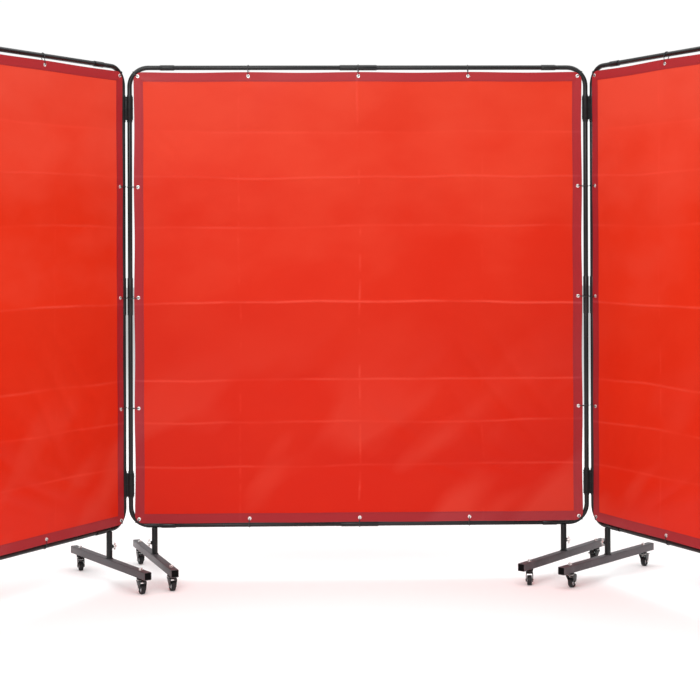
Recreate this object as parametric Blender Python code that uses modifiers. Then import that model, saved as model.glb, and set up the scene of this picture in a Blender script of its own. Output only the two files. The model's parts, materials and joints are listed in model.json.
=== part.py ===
"""A rolling three-panel welding screen: tube frames, vinyl curtains, hinge clips and caster feet.

Metres, +Z up. The viewer stands at -Y, and both wings are folded towards that side.
Each panel, foot, caster and wheel hangs from an empty that lies on its joint's axis.
"""

import math

import bmesh
import bpy
from mathutils import Matrix, Vector

# Fits
GAP = 0.0003  # between two pieces that touch
BORE_GAP = 0.0005  # round a shaft that turns in a bore
SOCKET_GAP = 0.0006  # round a tube in its socket
POST_GAP = 0.001  # round a peg in its post

# Panel frames: tubes that plug into the swollen ends of their neighbours
PANEL_WIDTH = 1.85  # between the centre lines of the side tubes
PANEL_HEIGHT = 1.85  # between the centre lines of the top and bottom tubes
TUBE_RADIUS = 0.0095
TUBE_WALL = 0.0012
BEND_RADIUS = 0.075
SWELL_STEP = 0.002  # length of the cone at each end of a socket
SLEEVE_LENGTH = 0.15  # middle socket of each side
SIDE_SOCKET = (0.108, 0.22)  # along an upright, from the corner's centre line
LEVEL_SOCKET = (0.12, 0.18)  # along a level tube, from the corner's centre line
STUB_LENGTH = 0.085  # peg below the bottom tube that enters a foot
FOOT_INSET = 0.095  # side tube to foot post

# Curtains
CURTAIN_THICKNESS = 0.001
CURTAIN_SIDE_GAP = 0.0075  # clear space to each side tube
CURTAIN_TOP_GAP = 0.009
CURTAIN_LOW_GAP = 0.0005

# Hinge clips
HINGE_GAP = 0.0049  # between the two sockets of a hinge line
CLIP_WALL = 0.0018
CLIP_HEIGHT = 0.094

# Feet
BEAM_LENGTH = 0.65
BEAM_SIDE = 0.03
BEAM_WALL = 0.002
POST_WALL = 0.0015
POST_LENGTH = 0.106  # beam to bottom tube
CASTER_INSET = 0.06  # beam end to kingpin
NUT_RADIUS = 0.0075
NUT_HEIGHT = 0.0065
LOCK_RISE = 0.046  # beam to lock screw
LOCK_RADIUS = 0.003
LOCK_LENGTH = 0.022
LOCK_HUB_RADIUS = 0.0052
LOCK_WING_SPAN = 0.03
LOCK_WING_WIDTH = 0.011
LOCK_WING_THICKNESS = 0.0025
BOSS_RADIUS = 0.007
BOSS_LENGTH = 0.005

# Casters
WHEEL_RADIUS = 0.02
WHEEL_WIDTH = 0.018
WHEEL_ROOM = 0.0067  # tread to the fork's plate
HUB_STAND = 0.0018  # hub beyond each side of the tread
HUB_GAP = 0.0004  # hub to cheek
HUB_RADIUS = 0.008
TREAD_CHAMFER = 0.003
AXLE_RADIUS = 0.003
TRAIL = 0.015  # kingpin to axle, level
FORK_WALL = 0.0028
FORK_TOP = 0.005  # thickness of the plate over the wheel
FORK_FRONT = 0.016  # from the kingpin, away from the wheel
FORK_OVERHANG = 0.015  # past the axle
CHEEK_RADIUS = 0.0075
CROWN_RADIUS = 0.016
CROWN_HEIGHT = 0.009
CROWN_LAP = 0.001  # how far the crown sinks into the plate
KINGPIN_RADIUS = 0.004
KINGPIN_HEAD_RADIUS = 0.0065
KINGPIN_HEAD = 0.003

# Brake pedals, one on each foot's rear caster
PEDAL_INSET = 0.0035  # from the fork's back edge to the pivot
PEDAL_DROP = 0.0032  # from the fork's plate to the pivot
PEDAL_RADIUS = 0.0022
PEDAL_WIDTH = 0.018
PEDAL_LENGTH = 0.027
PEDAL_THICKNESS = 0.0025
PEDAL_NOSE = 0.0063

# Smoothness
TUBE_SIDES = 8
SMALL_SIDES = 8
ROUND_SIDES = 12
WHEEL_SIDES = 12
BEND_STEPS = 4

# Rest pose, in degrees. A fold counts from flat.
# A heading turns a foot's front end away from the hinge.
LEFT_FOLD = 58.5
RIGHT_FOLD = 64.4
HEADINGS = {
    "centre_left": 19.6,
    "centre_right": 39.7,
    "left_inner": 24.4,
    "right_inner": 20.5,
    "left_outer": 0.0,
    "right_outer": 0.0,
}
# Where each caster's wheel trails, in degrees from -Y seen from above: front and rear caster
TRAILS = {
    "centre_left": (25, 20),
    "centre_right": (-6, -40),
    "left_inner": (28, 15),
    "right_inner": (142, 145),
    "left_outer": (35, 60),
    "right_outer": (-150, 165),
}

# Sizes, heights and places that follow from the sizes above
SOCKET_RADIUS = TUBE_RADIUS + TUBE_WALL + SOCKET_GAP
HINGE_PITCH = 2 * SOCKET_RADIUS + HINGE_GAP
CLIP_INSET = sum(SIDE_SOCKET) / 2  # corner's centre line to the middle of a clip
HALF_WIDTH = PANEL_WIDTH / 2
HUB_WIDTH = WHEEL_WIDTH + 2 * HUB_STAND
FORK_INNER = HUB_WIDTH / 2 + HUB_GAP
FORK_WIDTH = 2 * (FORK_INNER + FORK_WALL)
FORK_BACK = TRAIL + FORK_OVERHANG
AXLE_HEIGHT = WHEEL_RADIUS * math.cos(math.pi / WHEEL_SIDES)
FORK_PLATE_LOW = 2 * WHEEL_RADIUS + WHEEL_ROOM
FORK_PLATE_TOP = FORK_PLATE_LOW + FORK_TOP
CROWN_TOP = FORK_PLATE_TOP - CROWN_LAP + CROWN_HEIGHT
CASTER_HEIGHT = CROWN_TOP + GAP
CASTER_REACH = BEAM_LENGTH / 2 - CASTER_INSET
BEAM_TOP = CASTER_HEIGHT + BEAM_SIDE
LOCK_HEIGHT = BEAM_TOP + LOCK_RISE
POST_RADIUS = TUBE_RADIUS + POST_GAP + POST_WALL
POST_TOP = BEAM_TOP + POST_LENGTH
FRAME_LOW = POST_TOP + GAP + TUBE_RADIUS  # the bottom tube's centre line
FRAME_TOP = FRAME_LOW + PANEL_HEIGHT
FRAME_MIDDLE = FRAME_LOW + PANEL_HEIGHT / 2
PEDAL_BACK = FORK_BACK - PEDAL_INSET
PEDAL_HEIGHT = FORK_PLATE_LOW - PEDAL_DROP
UP = Vector((0, 0, 1))


# Scene, materials and objects


def clear_scene():
    for old in list(bpy.data.objects):
        bpy.data.objects.remove(old)
    made = bpy.data.collections.new("welding_curtain_screen")
    bpy.context.scene.collection.children.link(made)
    return made


def material(name, colour, roughness, metallic):
    made = bpy.data.materials.new(name)
    made.use_nodes = True
    shader = made.node_tree.nodes["Principled BSDF"]
    shader.inputs["Base Color"].default_value = (*colour, 1)
    shader.inputs["Roughness"].default_value = roughness
    shader.inputs["Metallic"].default_value = metallic
    made.diffuse_color = (*colour, 1)
    return made


def add_empty(name, parent, location, turn=0.0):
    empty = bpy.data.objects.new(name, None)
    collection.objects.link(empty)
    empty.parent = parent
    empty.location = location
    empty.rotation_euler = (0, 0, turn)
    return empty


def add_piece(name, mesh, paint, parent, location=(0, 0, 0), turn=0.0):
    piece = bpy.data.objects.new(name, mesh)
    collection.objects.link(piece)
    piece.parent = parent
    piece.location = location
    piece.rotation_euler = (0, 0, turn)
    if not mesh.materials:
        mesh.materials.append(paint)
    return piece


# Shapes


def mesh_from(shape, name):
    made = bpy.data.meshes.new(name)
    shape.to_mesh(made)
    shape.free()
    return made


def box(low, high):
    shape = bmesh.new()
    bmesh.ops.create_cube(shape, size=1)
    low, high = Vector(low), Vector(high)
    size = high - low
    bmesh.ops.scale(shape, vec=size, verts=shape.verts)
    bmesh.ops.translate(shape, vec=(low + high) / 2, verts=shape.verts)
    return mesh_from(shape, "box")


def rod(start, end, radius, sides=SMALL_SIDES):
    """A closed cylinder from start to end."""
    start, end = Vector(start), Vector(end)
    along = end - start
    turn = UP.rotation_difference(along).to_matrix().to_4x4()
    shape = bmesh.new()
    bmesh.ops.create_cone(
        shape,
        cap_ends=True,
        segments=sides,
        radius1=radius,
        radius2=radius,
        depth=along.length,
        matrix=Matrix.Translation((start + end) / 2) @ turn,
    )
    return mesh_from(shape, "rod")


def turned(profile, sides):
    """A ring about X from a closed profile of (along X, radius), with one of its flats facing down."""
    shape = bmesh.new()
    half_step = Matrix.Rotation(math.pi / sides, 3, "X")
    ring = [shape.verts.new(half_step @ Vector((x, 0, -radius))) for x, radius in profile]
    edges = [shape.edges.new((a, b)) for a, b in zip(ring, ring[1:] + ring[:1])]
    bmesh.ops.spin(
        shape,
        geom=ring + edges,
        cent=(0, 0, 0),
        axis=(1, 0, 0),
        angle=2 * math.pi,
        steps=sides,
        use_merge=True,
    )
    bmesh.ops.remove_doubles(shape, verts=shape.verts, dist=1e-6)
    bmesh.ops.recalc_face_normals(shape, faces=shape.faces)
    return mesh_from(shape, "turned")


def evaluated_mesh(source, name):
    bpy.context.view_layer.update()
    graph = bpy.context.evaluated_depsgraph_get()
    made = bpy.data.meshes.new_from_object(source.evaluated_get(graph))
    made.name = name
    shape = bmesh.new()
    shape.from_mesh(made)
    bmesh.ops.remove_doubles(shape, verts=shape.verts, dist=1e-6)
    shape.to_mesh(made)
    shape.free()
    return made


def pipe(stations):
    """An open-ended hollow tube through (point, outer radius) stations."""
    curve = bpy.data.curves.new("pipe", "CURVE")
    curve.dimensions = "3D"
    curve.bevel_depth = 1
    curve.bevel_resolution = TUBE_SIDES // 2 - 2
    spline = curve.splines.new("POLY")
    spline.points.add(len(stations) - 1)
    for point, (place, radius) in zip(spline.points, stations):
        point.co = (*place, 1)
        point.radius = radius
    source = bpy.data.objects.new("pipe", curve)
    collection.objects.link(source)
    wall = source.modifiers.new("wall", "SOLIDIFY")
    wall.thickness = TUBE_WALL
    wall.offset = -1
    wall.use_even_offset = True
    made = evaluated_mesh(source, "pipe")
    bpy.data.objects.remove(source)
    return made


def plate(outlines, thickness):
    """A flat plate in XY, centred on z = 0. Outlines after the first are holes."""
    curve = bpy.data.curves.new("plate", "CURVE")
    curve.dimensions = "2D"
    curve.fill_mode = "BOTH"
    curve.extrude = thickness / 2
    for outline in outlines:
        spline = curve.splines.new("POLY")
        spline.points.add(len(outline) - 1)
        for point, (x, y) in zip(spline.points, outline):
            point.co = (x, y, 0, 1)
        spline.use_cyclic_u = True
    source = bpy.data.objects.new("plate", curve)
    collection.objects.link(source)
    made = evaluated_mesh(source, "plate")
    bpy.data.objects.remove(source)
    return made


def combined(base, added=(), removed=()):
    """The base mesh with others joined to it, and then others cut from it."""
    steps = [("UNION", mesh) for mesh in added] + [("DIFFERENCE", mesh) for mesh in removed]
    body = bpy.data.objects.new("body", base)
    collection.objects.link(body)
    helpers = []
    for operation, mesh in steps:
        helper = bpy.data.objects.new("helper", mesh)
        collection.objects.link(helper)
        helpers.append(helper)
        step = body.modifiers.new(operation, "BOOLEAN")
        step.operation = operation
        step.solver = "EXACT"
        step.object = helper
    made = evaluated_mesh(body, "combined")
    for helper in helpers + [body]:
        bpy.data.objects.remove(helper)
    return made


def moved(mesh, matrix):
    mesh.transform(matrix)
    return mesh


def arc(centre, radius, start, end, steps):
    """Points on a circle between two angles in degrees, both included."""
    angles = [math.radians(start + (end - start) * n / steps) for n in range(steps + 1)]
    return [(centre[0] + radius * math.cos(a), centre[1] + radius * math.sin(a)) for a in angles]


def circle_about(centre, clear_radius, sides):
    """A polygon that stays outside the circle, for a bore."""
    corner_radius = clear_radius / math.cos(math.pi / sides)
    return arc(centre, corner_radius, 0, 360 - 360 / sides, sides - 1)


# Frames


def run(start, end, swells):
    """Stations along a straight tube. Each swell is a (from, to) stretch with a socket's radius."""
    start, end = Vector(start), Vector(end)
    length = (end - start).length
    stations = []
    for low, high in swells:
        if low > SWELL_STEP:
            stations.append((low - SWELL_STEP, TUBE_RADIUS))
        stations += [(low, SOCKET_RADIUS), (high, SOCKET_RADIUS)]
        if length - high > SWELL_STEP:
            stations.append((high + SWELL_STEP, TUBE_RADIUS))
    if stations[0][1] == TUBE_RADIUS:
        stations.insert(0, (0, TUBE_RADIUS))
    if stations[-1][1] == TUBE_RADIUS:
        stations.append((length, TUBE_RADIUS))
    return [(start.lerp(end, along / length), radius) for along, radius in stations]


def bend(centre_x, centre_z, start, end):
    corner = arc((centre_x, centre_z), BEND_RADIUS, start, end, BEND_STEPS)
    return [(Vector((x, 0, z)), TUBE_RADIUS) for x, z in corner[1:-1]]


def from_end(length, swell):
    """A stretch counted from a run's other end."""
    return length - swell[1], length - swell[0]


def after_bend(socket):
    """A socket counted from the corner's centre line, as a stretch counted from the bend's end."""
    return socket[0] - BEND_RADIUS, socket[1] - BEND_RADIUS


def frame_upper_mesh():
    """Both top corners, the top tube, and the middle sleeves at the lower ends of its legs."""
    leg_low = FRAME_MIDDLE - SLEEVE_LENGTH / 2
    leg_high = FRAME_TOP - BEND_RADIUS
    leg = leg_high - leg_low
    side = after_bend(SIDE_SOCKET)
    level = after_bend(LEVEL_SOCKET)
    inner = HALF_WIDTH - BEND_RADIUS
    up = [(0, SLEEVE_LENGTH), from_end(leg, side)]
    down = [side, from_end(leg, (0, SLEEVE_LENGTH))]
    middle = (inner - SLEEVE_LENGTH / 2, inner + SLEEVE_LENGTH / 2)
    across = [level, middle, from_end(2 * inner, level)]
    return pipe(
        run((-HALF_WIDTH, 0, leg_low), (-HALF_WIDTH, 0, leg_high), up)
        + bend(-inner, leg_high, 180, 90)
        + run((-inner, 0, FRAME_TOP), (inner, 0, FRAME_TOP), across)
        + bend(inner, leg_high, 90, 0)
        + run((HALF_WIDTH, 0, leg_high), (HALF_WIDTH, 0, leg_low), down)
    )


def frame_lower_mesh(side, has_sleeve):
    """One bottom corner with half the bottom tube and a foot peg. side is -1 for left and 1 for right."""
    leg_high = FRAME_MIDDLE + SLEEVE_LENGTH / 2 - GAP
    leg_low = FRAME_LOW + BEND_RADIUS
    upright = [from_end(leg_high - leg_low, after_bend(SIDE_SOCKET))]
    inner = HALF_WIDTH - BEND_RADIUS
    reach = SLEEVE_LENGTH / 2 - (0 if has_sleeve else GAP)
    level = [after_bend(LEVEL_SOCKET)]
    if has_sleeve:
        level.append((inner - SLEEVE_LENGTH / 2, inner + SLEEVE_LENGTH / 2))
    corner = (180, 270) if side < 0 else (0, -90)
    tube = pipe(
        run((side * HALF_WIDTH, 0, leg_high), (side * HALF_WIDTH, 0, leg_low), upright)
        + bend(side * inner, leg_low, *corner)
        + run((side * inner, 0, FRAME_LOW), (-side * reach, 0, FRAME_LOW), level)
    )
    foot_x = side * (HALF_WIDTH - FOOT_INSET)
    in_tube = FRAME_LOW - TUBE_RADIUS + 2 * TUBE_WALL
    low = FRAME_LOW - TUBE_RADIUS - STUB_LENGTH
    peg = rod((foot_x, 0, low), (foot_x, 0, in_tube), TUBE_RADIUS - GAP)
    hollow = rod((foot_x, 0, low - GAP), (foot_x, 0, in_tube + GAP), TUBE_RADIUS - 2 * TUBE_WALL)
    return combined(tube, [peg], [hollow])


def curtain_mesh():
    half = HALF_WIDTH - TUBE_RADIUS - CURTAIN_SIDE_GAP
    back = -TUBE_RADIUS - GAP
    low = FRAME_LOW + TUBE_RADIUS + CURTAIN_LOW_GAP
    high = FRAME_TOP - TUBE_RADIUS - CURTAIN_TOP_GAP
    return box((-half, back - CURTAIN_THICKNESS, low), (half, back, high))


def clip_mesh():
    """Two rings side by side. The first is on the centre panel's tube, the second at +X."""
    bore = SOCKET_RADIUS + BORE_GAP
    outer = bore + CLIP_WALL
    outline = arc((0, 0), outer, 90, 270, 8) + arc((HINGE_PITCH, 0), outer, -90, 90, 8)
    bores = [circle_about((x, 0), bore, ROUND_SIDES) for x in (0, HINGE_PITCH)]
    return plate([outline] + bores, CLIP_HEIGHT)


# Feet


def foot_mesh():
    """Beam, post, lock boss and the two kingpins, welded or bolted into one. The front end is at -Y."""
    half = BEAM_SIDE / 2
    inside = half - BEAM_WALL
    beam = combined(
        box((-half, -BEAM_LENGTH / 2, CASTER_HEIGHT), (half, BEAM_LENGTH / 2, BEAM_TOP)),
        removed=[
            box(
                (-inside, -BEAM_LENGTH, CASTER_HEIGHT + BEAM_WALL),
                (inside, BEAM_LENGTH, BEAM_TOP - BEAM_WALL),
            )
        ],
    )
    in_wall = BEAM_TOP - BEAM_WALL / 2
    post = rod((0, 0, in_wall), (0, 0, POST_TOP), POST_RADIUS, ROUND_SIDES)
    boss_start = POST_RADIUS - POST_WALL / 2
    boss_end = POST_RADIUS + BOSS_LENGTH
    boss = rod((boss_start, 0, LOCK_HEIGHT), (boss_end, 0, LOCK_HEIGHT), BOSS_RADIUS)
    added = [post, boss]
    for y in (-CASTER_REACH, CASTER_REACH):
        head_top = FORK_PLATE_LOW - GAP
        added.append(rod((0, y, head_top - KINGPIN_HEAD), (0, y, head_top), KINGPIN_HEAD_RADIUS))
        added.append(rod((0, y, head_top - KINGPIN_HEAD / 2), (0, y, in_wall), KINGPIN_RADIUS))
        added.append(rod((0, y, in_wall), (0, y, BEAM_TOP + NUT_HEIGHT), NUT_RADIUS, 6))
    bore = POST_RADIUS - POST_WALL
    socket = rod((0, 0, BEAM_TOP + GAP), (0, 0, POST_TOP + GAP), bore, ROUND_SIDES)
    thread = rod((0, 0, LOCK_HEIGHT), (2 * boss_end, 0, LOCK_HEIGHT), LOCK_RADIUS + GAP)
    return combined(beam, added, [socket, thread])


def lock_screw_mesh():
    """A wing screw along +X whose tip meets the peg in the post."""
    tip = TUBE_RADIUS
    hub_start = POST_RADIUS + BOSS_LENGTH + GAP
    end = tip + LOCK_LENGTH
    screw = rod((tip, 0, 0), (end, 0, 0), LOCK_RADIUS)
    hub = rod((hub_start, 0, 0), (end - LOCK_RADIUS, 0, 0), LOCK_HUB_RADIUS)
    span, half = LOCK_WING_SPAN / 2, LOCK_WING_THICKNESS / 2
    wing_start = end - LOCK_WING_WIDTH
    wing = box((wing_start, -half, -span), (end - GAP, half, span))
    return combined(screw, [hub, wing])


def fork_mesh():
    """A caster's yoke with its axle. The wheel trails towards -Y."""
    half = FORK_WIDTH / 2
    top = box((-half, -FORK_BACK, FORK_PLATE_LOW), (half, FORK_FRONT, FORK_PLATE_TOP))
    crown = rod((0, 0, FORK_PLATE_TOP - FORK_TOP / 2), (0, 0, CROWN_TOP), CROWN_RADIUS, ROUND_SIDES)
    lip = FORK_PLATE_LOW + FORK_TOP / 2
    outline = [(FORK_FRONT - FORK_WALL, lip), (-FORK_BACK + FORK_WALL / 2, lip)]
    outline += arc((-TRAIL, AXLE_HEIGHT), CHEEK_RADIUS, 190, 370, 6)
    cheeks = []
    for side in (-1, 1):
        place = Matrix.Translation((side * (half - FORK_WALL / 2), 0, 0))
        lay = Matrix(((0, 0, 1, 0), (1, 0, 0, 0), (0, 1, 0, 0), (0, 0, 0, 1)))
        cheeks.append(moved(plate([outline], FORK_WALL), place @ lay))
    reach = half + FORK_WALL / 2
    axle = rod((-reach, -TRAIL, AXLE_HEIGHT), (reach, -TRAIL, AXLE_HEIGHT), AXLE_RADIUS)
    kingpin = rod((0, 0, 0), (0, 0, CASTER_HEIGHT + GAP), KINGPIN_RADIUS + BORE_GAP)
    bore = moved(kingpin, Matrix.Translation((0, 0, FORK_PLATE_LOW / 2)))
    return combined(top, [crown] + cheeks + [axle], [bore])


def wheel_mesh():
    half, hub = WHEEL_WIDTH / 2, HUB_WIDTH / 2
    bore = (AXLE_RADIUS + BORE_GAP) / math.cos(math.pi / WHEEL_SIDES)
    shoulder = WHEEL_RADIUS - TREAD_CHAMFER
    right_half = [
        (half - TREAD_CHAMFER, WHEEL_RADIUS),
        (half, shoulder),
        (hub, HUB_RADIUS),
        (hub, bore),
    ]
    left_half = [(-x, radius) for x, radius in reversed(right_half)]
    return turned(left_half + right_half, WHEEL_SIDES)


def pedal_mesh():
    """A brake pedal about its pivot: a barrel between the cheeks, a tab, and the nose on the wheel."""
    reach = FORK_INNER - GAP
    barrel = rod((-reach, 0, 0), (reach, 0, 0), PEDAL_RADIUS)
    half = PEDAL_WIDTH / 2
    top = PEDAL_RADIUS - GAP
    tab = box((-half, -PEDAL_LENGTH, top - PEDAL_THICKNESS), (half, 0, top))
    nose = box((-half / 2, -PEDAL_RADIUS / 2, -PEDAL_NOSE), (half / 2, PEDAL_RADIUS / 2, 0))
    return combined(barrel, [tab, nose])


# Assembly


def add_caster(foot_name, end, foot, y, turn, has_brake):
    fork = add_empty(f"{foot_name}_{end}_caster", foot, (0, y, 0), turn)
    add_piece(f"{foot_name}_{end}_fork", meshes["fork"], paints["black_plastic"], fork)
    axle = add_empty(f"{foot_name}_{end}_axle", fork, (0, -TRAIL, AXLE_HEIGHT))
    add_piece(f"{foot_name}_{end}_wheel", meshes["wheel"], paints["tyre"], axle)
    if has_brake:
        pivot = add_empty(f"{foot_name}_pedal_pivot", fork, (0, -PEDAL_BACK, PEDAL_HEIGHT))
        add_piece(f"{foot_name}_brake_pedal", meshes["pedal"], paints["pedal"], pivot)


def add_foot(name, panel, x, panel_turn, heading, screw_side):
    """A foot below a panel's bottom tube. heading is counted anticlockwise from the panel's own front."""
    foot = add_empty(f"{name}_post_axis", panel, (x, 0, 0), heading)
    screw_turn = 0 if screw_side > 0 else math.pi
    add_piece(f"{name}_foot", meshes["foot"], paints["hammered"], foot, turn=screw_turn)
    screw = add_empty(f"{name}_lock_axis", foot, (0, 0, LOCK_HEIGHT), screw_turn)
    add_piece(f"{name}_lock_screw", meshes["lock_screw"], paints["zinc"], screw)
    front, rear = (math.radians(angle) - panel_turn - heading for angle in TRAILS[name])
    add_caster(name, "front", foot, -CASTER_REACH, front, False)
    add_caster(name, "rear", foot, CASTER_REACH, rear, True)


def add_panel(name, parent, x):
    """A panel whose middle is at x from its parent."""
    middle = add_empty(f"{name}_panel", parent, (x, 0, 0))
    add_piece(f"{name}_frame_upper", meshes["frame_upper"], paints["frame"], middle)
    add_piece(f"{name}_frame_lower_left", meshes["frame_left"], paints["frame"], middle)
    add_piece(f"{name}_frame_lower_right", meshes["frame_right"], paints["frame"], middle)
    add_piece(f"{name}_curtain", meshes["curtain"], paints["vinyl"], middle)
    return middle


def add_wing(name, side, fold, centre):
    """A wing at one side of the centre panel. side is -1 for left and 1 for right."""
    clips = add_empty(f"{name}_clip_axis", centre, (side * HALF_WIDTH, 0, 0))
    clip_turn = 0 if side > 0 else math.pi
    for level, height in (("top", FRAME_TOP - CLIP_INSET), ("bottom", FRAME_LOW + CLIP_INSET)):
        place = (0, 0, height)
        add_piece(f"{name}_clip_{level}", meshes["clip"], paints["clip"], clips, place, clip_turn)
    turn = -side * math.radians(fold)
    hinge = add_empty(f"{name}_hinge", clips, (side * HINGE_PITCH, 0, 0), turn)
    wing = add_panel(name, hinge, side * HALF_WIDTH)
    inset = HALF_WIDTH - FOOT_INSET
    inner = side * math.radians(HEADINGS[f"{name}_inner"])
    outer = side * math.radians(HEADINGS[f"{name}_outer"])
    add_foot(f"{name}_inner", wing, -side * inset, turn, inner, -side)
    add_foot(f"{name}_outer", wing, side * inset, turn, outer, side)


def stand_on_origin(root):
    """Moves the whole screen so that the middle of its base is at the origin."""
    bpy.context.view_layer.update()
    solid = [piece for piece in collection.objects if piece.type == "MESH"]
    points = [piece.matrix_world @ vertex.co for piece in solid for vertex in piece.data.vertices]
    for axis in (0, 1):
        values = [point[axis] for point in points]
        root.location[axis] = -(min(values) + max(values)) / 2
    bpy.context.view_layer.update()


def build():
    root = add_empty("screen", None, (0, 0, 0))
    centre = add_panel("centre", root, 0)
    inset = HALF_WIDTH - FOOT_INSET
    for name, side in (("centre_left", -1), ("centre_right", 1)):
        heading = -side * math.radians(HEADINGS[name])
        add_foot(name, centre, side * inset, 0, heading, side)
    add_wing("left", -1, LEFT_FOLD, centre)
    add_wing("right", 1, RIGHT_FOLD, centre)
    stand_on_origin(root)


collection = clear_scene()
paints = {
    "frame": material("frame_paint", (0.022, 0.023, 0.025), 0.35, 0.3),
    "vinyl": material("red_vinyl", (0.78, 0.03, 0.012), 0.3, 0.0),
    "clip": material("clip_plastic", (0.02, 0.02, 0.022), 0.5, 0.0),
    "hammered": material("hammered_paint", (0.09, 0.08, 0.085), 0.45, 0.4),
    "zinc": material("zinc_plate", (0.75, 0.75, 0.74), 0.25, 1.0),
    "black_plastic": material("fork_plastic", (0.012, 0.012, 0.013), 0.4, 0.0),
    "tyre": material("wheel_rubber", (0.02, 0.02, 0.02), 0.6, 0.0),
    "pedal": material("pedal_plastic", (0.015, 0.015, 0.016), 0.45, 0.0),
}
meshes = {
    "frame_upper": frame_upper_mesh(),
    "frame_left": frame_lower_mesh(-1, True),
    "frame_right": frame_lower_mesh(1, False),
    "curtain": curtain_mesh(),
    "clip": clip_mesh(),
    "foot": foot_mesh(),
    "lock_screw": lock_screw_mesh(),
    "fork": fork_mesh(),
    "wheel": wheel_mesh(),
    "pedal": pedal_mesh(),
}
build()
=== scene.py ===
"""The look of a rolling three-panel welding screen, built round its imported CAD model.

Every place comes from the CAD: a panel, foot, caster, wheel, screw or pedal is found from its joint.
Each piece is made in the local frame of what it belongs to, with its front at -Y, and then put in place.
"""

import json
import math

import bmesh
import bpy
import numpy as np
from mathutils import Matrix, Vector, noise


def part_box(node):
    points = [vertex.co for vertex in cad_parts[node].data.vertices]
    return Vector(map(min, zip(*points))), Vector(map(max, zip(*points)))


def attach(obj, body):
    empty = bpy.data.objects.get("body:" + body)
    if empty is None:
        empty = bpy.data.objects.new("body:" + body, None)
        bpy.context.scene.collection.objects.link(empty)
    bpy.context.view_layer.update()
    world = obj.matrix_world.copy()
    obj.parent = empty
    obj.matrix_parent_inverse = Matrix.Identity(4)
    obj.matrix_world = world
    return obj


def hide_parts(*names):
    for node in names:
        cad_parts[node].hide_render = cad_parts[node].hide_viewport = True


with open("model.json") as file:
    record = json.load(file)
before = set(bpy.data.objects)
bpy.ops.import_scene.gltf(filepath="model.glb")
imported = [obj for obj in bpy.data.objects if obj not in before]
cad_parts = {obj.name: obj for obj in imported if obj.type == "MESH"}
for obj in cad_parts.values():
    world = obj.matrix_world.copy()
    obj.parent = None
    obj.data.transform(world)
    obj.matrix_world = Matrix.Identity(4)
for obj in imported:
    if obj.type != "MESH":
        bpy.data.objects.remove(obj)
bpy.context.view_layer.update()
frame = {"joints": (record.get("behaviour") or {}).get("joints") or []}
JOINTS = {joint["name"]: joint for joint in frame["joints"]}
FEET = ("centre_left", "centre_right", "left_inner", "left_outer", "right_inner", "right_outer")
PANELS = ("centre", "left", "right")

# Frames
TUBE_RADIUS = 0.0095
SOCKET_RADIUS = 0.0113
SLEEVE_WALL = 0.0014
BEND_RADIUS = 0.075
SIDE_SOCKET = (0.108, 0.22)  # along an upright, from the corner's centre line
LEVEL_SOCKET = (0.12, 0.18)  # along a level tube, from the corner's centre line
FLARE = 0.006
SLEEVE_LENGTH = 0.15
PEG_LENGTH = 0.085
SOCKET_OVERLAP = 0.03  # of a straight tube in a corner's socket
TUBE_GAP = 0.008  # between the two tubes in a sleeve
FOOT_INSET = 0.095

# Curtains
SHEET_THICKNESS = 0.0006
HEM_WIDTH = 0.038
HEM_THICKNESS = 0.0018
HEM_CELLS = 6
CORNER_RADIUS = 0.034
LOW_EDGE_SAG = 0.5  # the low edge hangs down between ties by this share of what the others draw in
CELL = 0.012  # grid of the open sheet
GROMMET_INSET = 0.017
GROMMETS_A_SIDE = 5
GROMMET_RADIUS = 0.0074
GROMMET_HOLE = 0.0036
TIE_RADIUS = 0.0014
TIE_HEAD = Vector((0.0028, 0.0022, 0.0026))  # half its sides
STITCH_PITCH = 0.008
STITCH_LENGTH = 0.0055

# Fold lines from packing: height up the sheet as a share, ridge (+) or valley (-) depth and width in metres
FOLDS_ACROSS = (
    (0.868, 0.0005, 0.008),
    (0.766, -0.0006, 0.009),
    (0.657, 0.0006, 0.008),
    (0.488, -0.0015, 0.010),
    (0.317, 0.0009, 0.009),
    (0.222, -0.0007, 0.009),
    (0.124, 0.0008, 0.008),
)
# Fold lines that run down the sheet: place across it as a share
FOLDS_DOWN = ((0.5, -0.0006, 0.008), (0.775, 0.0006, 0.009), (0.235, 0.0004, 0.009))
CREASE_HALF = 0.0021  # half the painted highlight line on a fold, as a share of the sheet
# Painted shade between the fold lines, from the bottom up: a tone for each folded facet, as if it faced the
# light a little differently
FACET_SHADES = (1.0, 0.975, 0.99, 0.965, 1.0, 0.98, 0.995, 0.975)
# Creased patches: middle across and up as shares, half spans in metres, wave slope, wavelength and depth
CREASED_PATCHES = (
    (0.60, 0.21, 0.36, 0.10, 0.9, 0.36, 0.0028),
    (0.80, 0.29, 0.22, 0.22, 1.3, 0.27, 0.0026),
    (0.72, 0.11, 0.40, 0.07, 0.35, 0.16, 0.0014),
    (0.28, 0.10, 0.30, 0.08, -0.6, 0.22, 0.0013),
    (0.10, 0.24, 0.12, 0.18, -2.0, 0.24, 0.0011),
    (0.07, 0.84, 0.07, 0.10, 1.1, 0.10, 0.0007),
)

# Clips
CLIP_WALL = 0.0021
CLIP_BORE_GAP = 0.0005
CLIP_EDGE = 0.0016

# Feet and casters
BEAM_SIDE = 0.03
BEAM_CORNER = 0.0032
BEAM_WALL = 0.002
CAP_RECESS = 0.0008
POST_RADIUS = 0.012
LOCK_RADIUS = 0.003
FORK_WIDTH = 0.028
FORK_WALL = 0.0028
CROWN_RADIUS = 0.016
TRAIL = 0.015
WHEEL_RADIUS = 0.02
WHEEL_WIDTH = 0.018
HUB_WIDTH = 0.0216
AXLE_RADIUS = 0.003


# Places


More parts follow.
